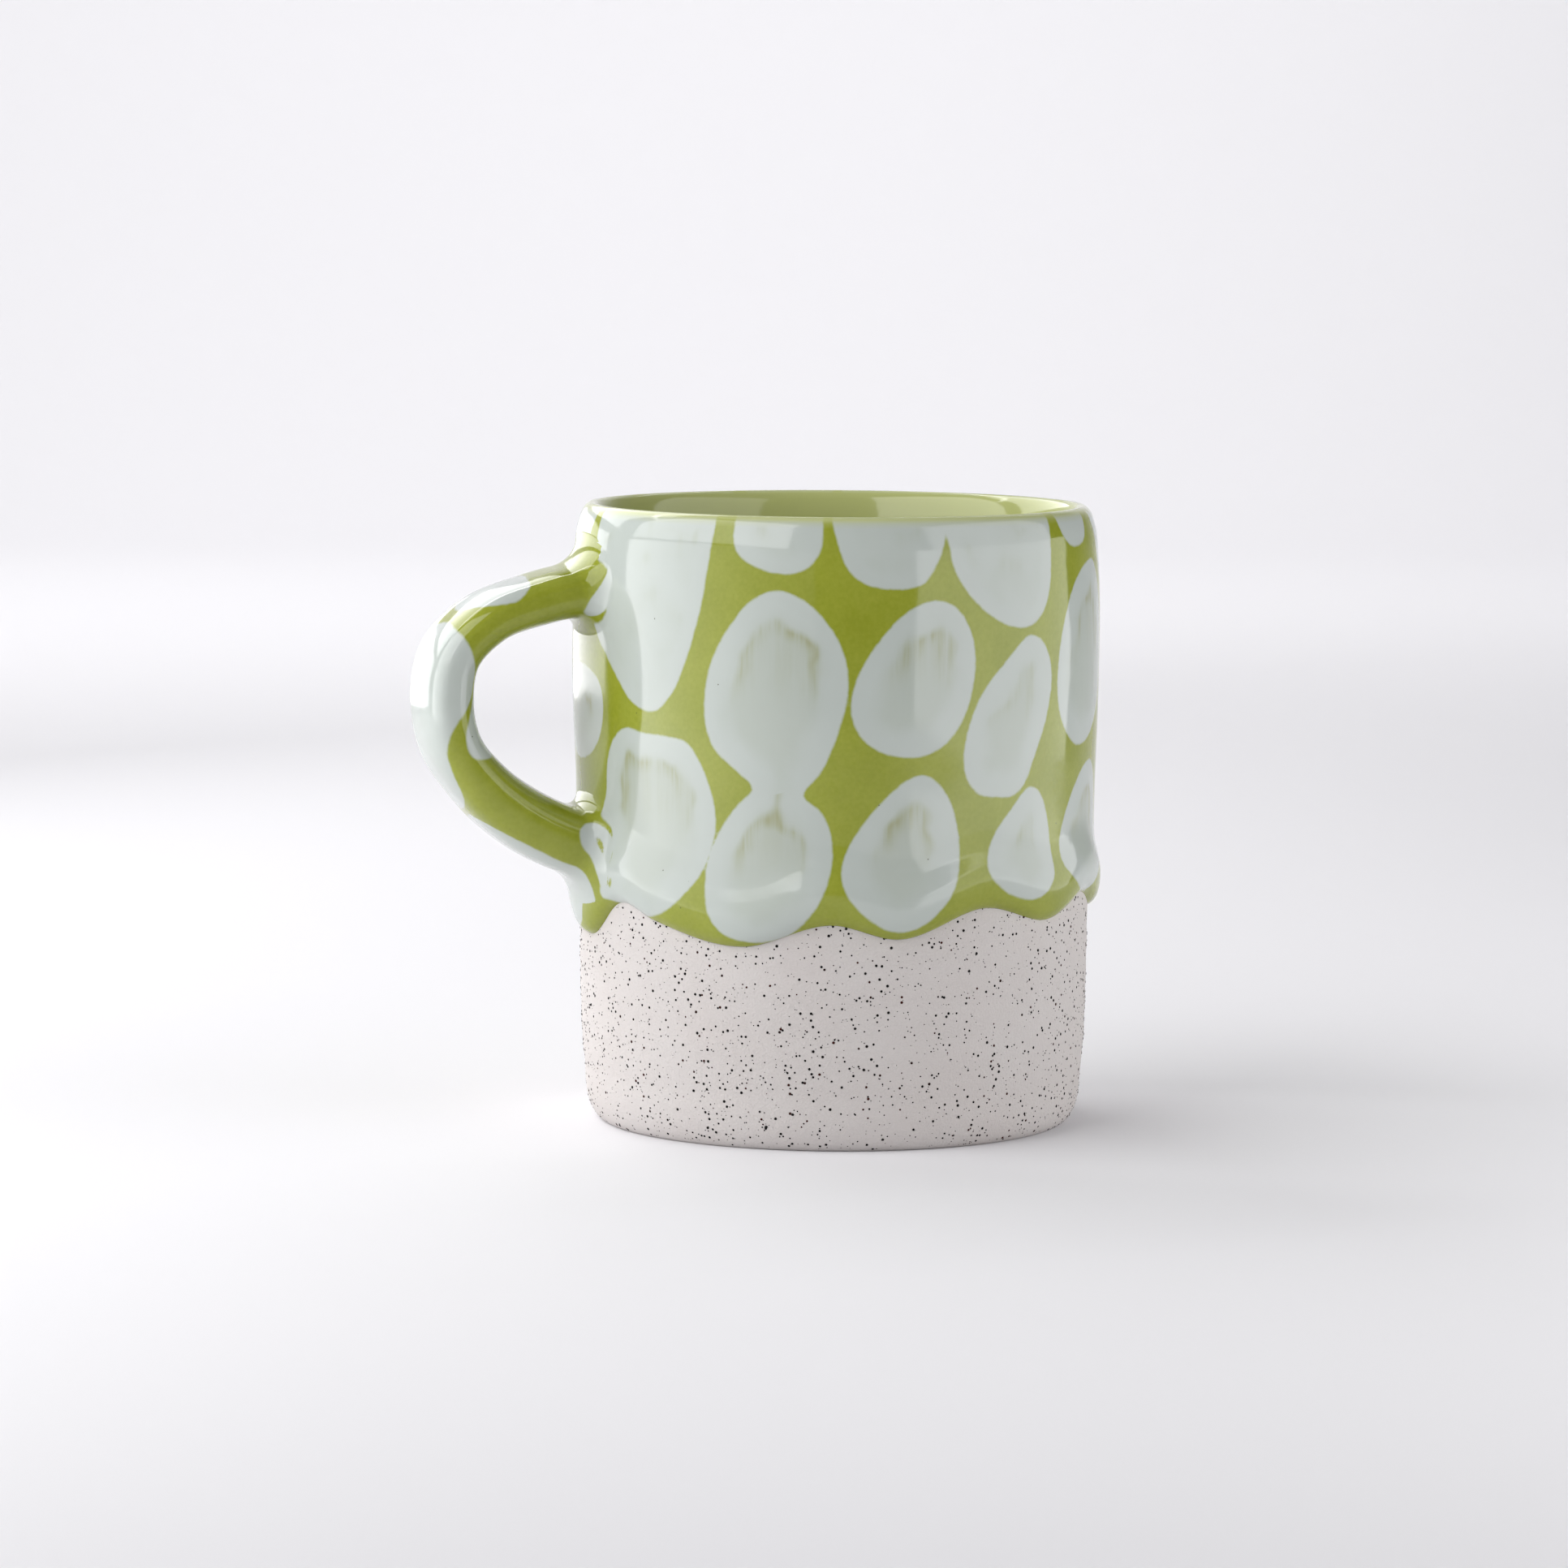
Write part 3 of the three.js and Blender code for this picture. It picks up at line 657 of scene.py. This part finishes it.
def speckTree(shape, material):
    tree = bpy.data.node_groups.new("ironSpecks", "GeometryNodeTree")
    tree.interface.new_socket("Geometry", in_out="INPUT", socket_type="NodeSocketGeometry")
    tree.interface.new_socket("Geometry", in_out="OUTPUT", socket_type="NodeSocketGeometry")
    for name, value in shape.items():
        kind = "NodeSocketInt" if name == "Seed" else "NodeSocketFloat"
        tree.interface.new_socket(name, in_out="INPUT", socket_type=kind)
    given = addNode(tree, "NodeGroupInput")
    random = addNode(tree, "FunctionNodeRandomValue", {2: 0.0, 3: 1.0, "Seed": given.outputs["Seed"]})
    skewed = addNode(tree, "ShaderNodeMath", {0: random.outputs[1], 1: 2.2}, operation="POWER")
    size = addNode(tree, "ShaderNodeMapRange",
                   {0: skewed.outputs[0], 3: given.outputs["Smallest"], 4: given.outputs["Largest"]})
    thin = addNode(tree, "ShaderNodeMath", {0: size.outputs[0], 1: given.outputs["Flatness"]},
                   operation="MULTIPLY")
    scale = addNode(tree, "ShaderNodeCombineXYZ",
                    {"X": size.outputs[0], "Y": size.outputs[0], "Z": thin.outputs[0]})
    spread = addNode(tree, "GeometryNodeDistributePointsOnFaces",
                     {"Mesh": given.outputs["Geometry"], "Density": given.outputs["Density"],
                      "Seed": given.outputs["Seed"]})
    grain = addNode(tree, "GeometryNodeMeshIcoSphere", {"Radius": 1.0, "Subdivisions": 1})
    placed = addNode(tree, "GeometryNodeInstanceOnPoints",
                     {"Points": spread.outputs["Points"], "Instance": grain.outputs["Mesh"],
                      "Rotation": spread.outputs["Rotation"], "Scale": scale.outputs[0]})
    rust = addNode(tree, "FunctionNodeRandomValue", {2: 0.0, 3: 1.0, "Seed": 31})
    tinted = addNode(tree, "GeometryNodeStoreNamedAttribute",
                     {"Geometry": placed.outputs[0], "Name": "rust", "Value": rust.outputs[1]},
                     domain="INSTANCE")
    real = addNode(tree, "GeometryNodeRealizeInstances", {"Geometry": tinted.outputs[0]})
    smooth = addNode(tree, "GeometryNodeSetShadeSmooth", {"Geometry": real.outputs[0]})
    coloured = addNode(tree, "GeometryNodeSetMaterial",
                       {"Geometry": smooth.outputs[0], "Material": material})
    addNode(tree, "NodeGroupOutput", {"Geometry": coloured.outputs[0]})
    return tree


def makeSpecks(name, host, keep, shape, material):
    # host's faces that keep() picks carry the specks
    bare = bmesh.new()
    bare.from_mesh(host.data)
    covered = [face for face in bare.faces if not keep(face.calc_center_median() / mm)]
    bmesh.ops.delete(bare, geom=covered, context="FACES")
    mesh = bpy.data.meshes.new(name)
    bare.to_mesh(mesh)
    bare.free()
    piece = bpy.data.objects.new(name, mesh)
    bpy.context.scene.collection.objects.link(piece)
    modifier = piece.modifiers.new("specks", "NODES")
    tree = speckTree(shape, material)
    modifier.node_group = tree
    inMetres = {"Density": shape["Density"] / mm ** 2, "Smallest": shape["Smallest"] * mm,
                "Largest": shape["Largest"] * mm}
    for item in tree.interface.items_tree:
        if item.in_out == "INPUT" and item.name in shape:
            modifier[item.identifier] = inMetres.get(item.name, shape[item.name])
    seen = piece.evaluated_get(bpy.context.evaluated_depsgraph_get())
    piece.data = bpy.data.meshes.new_from_object(seen)
    piece.modifiers.clear()
    return piece


def isBare(place):
    around = aroundOf(np.array(place))
    underDrip = place.z < throughStops(glazeShape["drip"], around, 360) + 0.6
    return underDrip and place.z > 0.3 and place.xy.length > 38.6


clayFinish = {"body": "#ccc8c6", "warm": "#c7c0bd", "speck": "#221d1b", "grain": 0.35, "fineSpeck": 1.15}


def makeClayMaterial(finish):
    # unglazed speckled stoneware, thrown and sponged: dull and slightly sandy, with iron flecks
    material, tree, shader = newMaterial("bareStoneware")
    place = addNode(tree, "ShaderNodeTexCoord").outputs["Object"]
    cloud = addNode(tree, "ShaderNodeTexNoise", {"Vector": place, "Scale": 1000 / 14, "Detail": 3})
    body = addNode(tree, "ShaderNodeMix", {0: cloud.outputs[0], 6: toLinear(finish["body"]),
                                           7: toLinear(finish["warm"])}, data_type="RGBA")
    cells = addNode(tree, "ShaderNodeTexVoronoi", {"Vector": place, "Scale": 1000 / finish["fineSpeck"]})
    cellSize = addNode(tree, "ShaderNodeMapRange",
                       {0: cells.outputs["Color"], 1: 0.68, 2: 1.0, 3: 0.0, 4: 0.145})
    gap = addNode(tree, "ShaderNodeMath", {0: cellSize.outputs[0], 1: cells.outputs["Distance"]},
                  operation="SUBTRACT")
    dots = addNode(tree, "ShaderNodeMapRange", {0: gap.outputs[0], 1: 0.0, 2: 0.05, 3: 0.0, 4: 0.85})
    colour = addNode(tree, "ShaderNodeMix", {0: dots.outputs[0], 6: body.outputs[2],
                                             7: toLinear(finish["speck"])}, data_type="RGBA")
    grain = addNode(tree, "ShaderNodeTexNoise",
                    {"Vector": place, "Scale": 1000 / finish["grain"], "Detail": 3})
    sponge = addNode(tree, "ShaderNodeTexNoise", {"Vector": place, "Scale": 1000 / 1.7, "Detail": 2})
    relief = addNode(tree, "ShaderNodeMath", {0: grain.outputs[0], 1: sponge.outputs[0]}, operation="ADD")
    bump = addNode(tree, "ShaderNodeBump",
                   {"Height": relief.outputs[0], "Strength": 0.7, "Distance": 0.16 * mm})
    tree.links.new(colour.outputs[2], shader.inputs["Base Color"])
    tree.links.new(bump.outputs[0], shader.inputs["Normal"])
    shader.inputs["Roughness"].default_value = 0.92
    shader.inputs["Specular IOR Level"].default_value = 0.3
    return material


speckFinish = {"iron": "#0f0d0c", "rust": "#3c1710"}


def makeSpeckMaterial(finish):
    # iron pyrites that bled out in the firing: nearly black, a few of them rusty
    material, tree, shader = newMaterial("ironSpeck")
    rust = addNode(tree, "ShaderNodeAttribute", attribute_name="rust")
    few = addNode(tree, "ShaderNodeMapRange", {0: rust.outputs["Fac"], 1: 0.8, 2: 0.95})
    colour = addNode(tree, "ShaderNodeMix", {0: few.outputs[0], 6: toLinear(finish["iron"]),
                                             7: toLinear(finish["rust"])}, data_type="RGBA")
    tree.links.new(colour.outputs[2], shader.inputs["Base Color"])
    shader.inputs["Roughness"].default_value = 0.85
    shader.inputs["Specular IOR Level"].default_value = 0.2
    return material


glazeFinish = {
    "green": "#919834", "deep": "#858d27", "thin": "#b8bd80", "pale": "#b4bbb6", "worn": "#aeb5ad",
    "olive": "#979a76", "pinhole": "#3d3a20",
    "edge": 0.28,         # half the width over which a spot melts into the green
    "border": 4.2,        # the thick white border of a spot, outside its drag marks
    "gloss": 0.09,
}


def makeGlazeMaterial(finish):
    # gloss stoneware glaze, dipped, with a second pale glaze dabbed on that melted flush into it:
    # a deep even shine, thin and pale on the lip, with soft olive drag marks inside each dab
    material, tree, shader = newMaterial("dippedGlaze")
    place = addNode(tree, "ShaderNodeTexCoord").outputs["Object"]
    cloud = addNode(tree, "ShaderNodeTexNoise", {"Vector": place, "Scale": 1000 / 9, "Detail": 4})
    mottle = addNode(tree, "ShaderNodeTexNoise", {"Vector": place, "Scale": 1000 / 0.7, "Detail": 2})
    blotch = addNode(tree, "ShaderNodeMath", {0: mottle.outputs[0], 1: 0.6, 2: cloud.outputs[0]},
                     operation="MULTIPLY_ADD")
    shade = addNode(tree, "ShaderNodeMapRange", {0: blotch.outputs[0], 1: 0.55, 2: 1.05})
    green = addNode(tree, "ShaderNodeMix", {0: shade.outputs[0], 6: toLinear(finish["green"]),
                                            7: toLinear(finish["deep"])}, data_type="RGBA")
    depth = addNode(tree, "ShaderNodeAttribute", attribute_name="spotDepth").outputs["Fac"]
    rise = addNode(tree, "ShaderNodeAttribute", attribute_name="spotRise").outputs["Fac"]
    thinness = addNode(tree, "ShaderNodeAttribute", attribute_name="thinness").outputs["Fac"]
    fray = addNode(tree, "ShaderNodeTexNoise", {"Vector": place, "Scale": 1000 / 1.2, "Detail": 2})
    frayed = addNode(tree, "ShaderNodeMath", {0: fray.outputs[0], 1: 0.3, 2: depth},
                     operation="MULTIPLY_ADD")
    spot = addNode(tree, "ShaderNodeMapRange",
                   {0: frayed.outputs[0], 1: 0.15 - finish["edge"], 2: 0.15 + finish["edge"]},
                   interpolation_type="SMOOTHSTEP")
    # the brush dragged downwards: its marks start in an arch under the head of the dab and fade out
    stretched = addNode(tree, "ShaderNodeMapping", {"Vector": place, "Scale": (1, 1, 0.09)})
    streaks = addNode(tree, "ShaderNodeTexNoise",
                      {"Vector": stretched.outputs[0], "Scale": 1000 / 2.6, "Detail": 3, "Roughness": 0.62})
    wander = addNode(tree, "ShaderNodeTexNoise", {"Vector": place, "Scale": 1000 / 6, "Detail": 1})
    bent = addNode(tree, "ShaderNodeMath", {0: wander.outputs[0], 1: 4.5, 2: depth},
                   operation="MULTIPLY_ADD")
    start = finish["border"] + 2.25
    inner = addNode(tree, "ShaderNodeMapRange", {0: bent.outputs[0], 1: start - 0.9, 2: start + 0.7},
                    interpolation_type="SMOOTHSTEP")
    line = addNode(tree, "ShaderNodeMapRange",
                   {0: bent.outputs[0], 1: start + 0.3, 2: start + 2.9, 3: 1.0, 4: 0.22},
                   interpolation_type="SMOOTHSTEP")
    head = addNode(tree, "ShaderNodeMapRange", {0: rise, 1: -0.25, 2: 0.4, 4: 0.9},
                   interpolation_type="SMOOTHSTEP")
    combed = addNode(tree, "ShaderNodeMapRange", {0: streaks.outputs[0], 1: 0.36, 2: 0.7, 3: 0.12, 4: 1.0},
                     interpolation_type="SMOOTHSTEP")
    arch = inner.outputs[0]
    for factor in (line, head, combed):
        arch = addNode(tree, "ShaderNodeMath", {0: arch, 1: factor.outputs[0]},
                       operation="MULTIPLY").outputs[0]
    under = addNode(tree, "ShaderNodeMapRange", {0: bent.outputs[0], 1: start - 2.4, 2: start + 2.0},
                    interpolation_type="SMOOTHSTEP")
    worn = addNode(tree, "ShaderNodeMix", {0: under.outputs[0], 6: toLinear(finish["pale"]),
                                           7: toLinear(finish["worn"])}, data_type="RGBA")
    marked = addNode(tree, "ShaderNodeMix", {0: arch, 6: worn.outputs[2], 7: toLinear(finish["olive"])},
                     data_type="RGBA")
    dabbed = addNode(tree, "ShaderNodeMix", {0: spot.outputs[0], 6: green.outputs[2], 7: marked.outputs[2]},
                     data_type="RGBA")
    breaking = addNode(tree, "ShaderNodeMix",
                       {0: thinness, 6: dabbed.outputs[2], 7: toLinear(finish["thin"])}, data_type="RGBA")
    # a few pinholes and iron flecks under the glaze
    cells = addNode(tree, "ShaderNodeTexVoronoi", {"Vector": place, "Scale": 1000 / 4.6})
    dot = addNode(tree, "ShaderNodeMapRange",
                  {0: cells.outputs["Distance"], 1: 0.018, 2: 0.036, 3: 0.7, 4: 0.0})
    chance = addNode(tree, "ShaderNodeMath", {0: cells.outputs["Color"], 1: 0.55}, operation="GREATER_THAN")
    fleck = addNode(tree, "ShaderNodeMath", {0: dot.outputs[0], 1: chance.outputs[0]}, operation="MULTIPLY")
    colour = addNode(tree, "ShaderNodeMix", {0: fleck.outputs[0], 6: breaking.outputs[2],
                                             7: toLinear(finish["pinhole"])}, data_type="RGBA")
    ripple = addNode(tree, "ShaderNodeTexNoise", {"Vector": place, "Scale": 1000 / 3.5, "Detail": 2})
    bump = addNode(tree, "ShaderNodeBump",
                   {"Height": ripple.outputs[0], "Strength": 0.35, "Distance": 0.05 * mm})
    tree.links.new(colour.outputs[2], shader.inputs["Base Color"])
    tree.links.new(bump.outputs[0], shader.inputs["Normal"])
    shader.inputs["Roughness"].default_value = finish["gloss"]
    shader.inputs["IOR"].default_value = 1.52
    return material


# the inside's greens are set lighter than the outer glaze's: painted light, as the inside is the same glaze
# lit brighter
linerFinishPaintedLight = {"green": "#a6ad41", "deep": "#99a135", "gloss": 0.09}


def makeLinerMaterial(finish):
    # the same gloss glaze, poured in and rolled round: even, a little deeper where it pooled; its greens
    # are lighter than the outside's, painted light for the brighter-lit inside
    material, tree, shader = newMaterial("pouredGlaze")
    place = addNode(tree, "ShaderNodeTexCoord").outputs["Object"]
    cloud = addNode(tree, "ShaderNodeTexNoise", {"Vector": place, "Scale": 1000 / 12, "Detail": 4})
    green = addNode(tree, "ShaderNodeMix", {0: cloud.outputs[0], 6: toLinear(finish["green"]),
                                            7: toLinear(finish["deep"])}, data_type="RGBA")
    ripple = addNode(tree, "ShaderNodeTexNoise", {"Vector": place, "Scale": 1000 / 3.5, "Detail": 2})
    bump = addNode(tree, "ShaderNodeBump",
                   {"Height": ripple.outputs[0], "Strength": 0.35, "Distance": 0.06 * mm})
    tree.links.new(green.outputs[2], shader.inputs["Base Color"])
    tree.links.new(bump.outputs[0], shader.inputs["Normal"])
    shader.inputs["Roughness"].default_value = finish["gloss"]
    shader.inputs["IOR"].default_value = 1.52
    return material


clayMaterial = makeClayMaterial(clayFinish)
glazeMaterial = makeGlazeMaterial(glazeFinish)
clayCup.data.materials.append(clayMaterial)
outerGlaze.data.materials.append(glazeMaterial)
handleGlaze.data.materials.append(glazeMaterial)
linerGlaze.data.materials.append(makeLinerMaterial(linerFinishPaintedLight))
for piece in (clayStrap, upperSlip, lowerSlip):
    piece.data.materials.append(clayMaterial)
ironSpecks = makeSpecks("ironSpecks", clayCup, isBare, speckShape, makeSpeckMaterial(speckFinish))
print("iron specks:", len(ironSpecks.data.polygons), "faces")


pieces = {
    "clayCup": (clayCup, "bare_clay", ["clay_cup"]),
    "ironSpecks": (ironSpecks, "bare_clay", []),
    "clayStrap": (clayStrap, "bare_clay", ["clay_handle"]),
    "upperSlip": (upperSlip, "slip_clay", ["upper_slip_joint"]),
    "lowerSlip": (lowerSlip, "slip_clay", ["lower_slip_joint"]),
    "outerGlaze": (outerGlaze, "green_glaze", ["outer_glaze"] + spotNodes),
    "linerGlaze": (linerGlaze, "liner_glaze", ["liner_glaze"]),
    "handleGlaze": (handleGlaze, "green_glaze", ["handle_glaze", "handle_crown_spot", "handle_back_spot",
                                                 "handle_inner_spot", "handle_under_spot"]),
}
for piece, slot, stoodFor in pieces.values():
    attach(piece, "root")
    if stoodFor:
        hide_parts(*stoodFor)
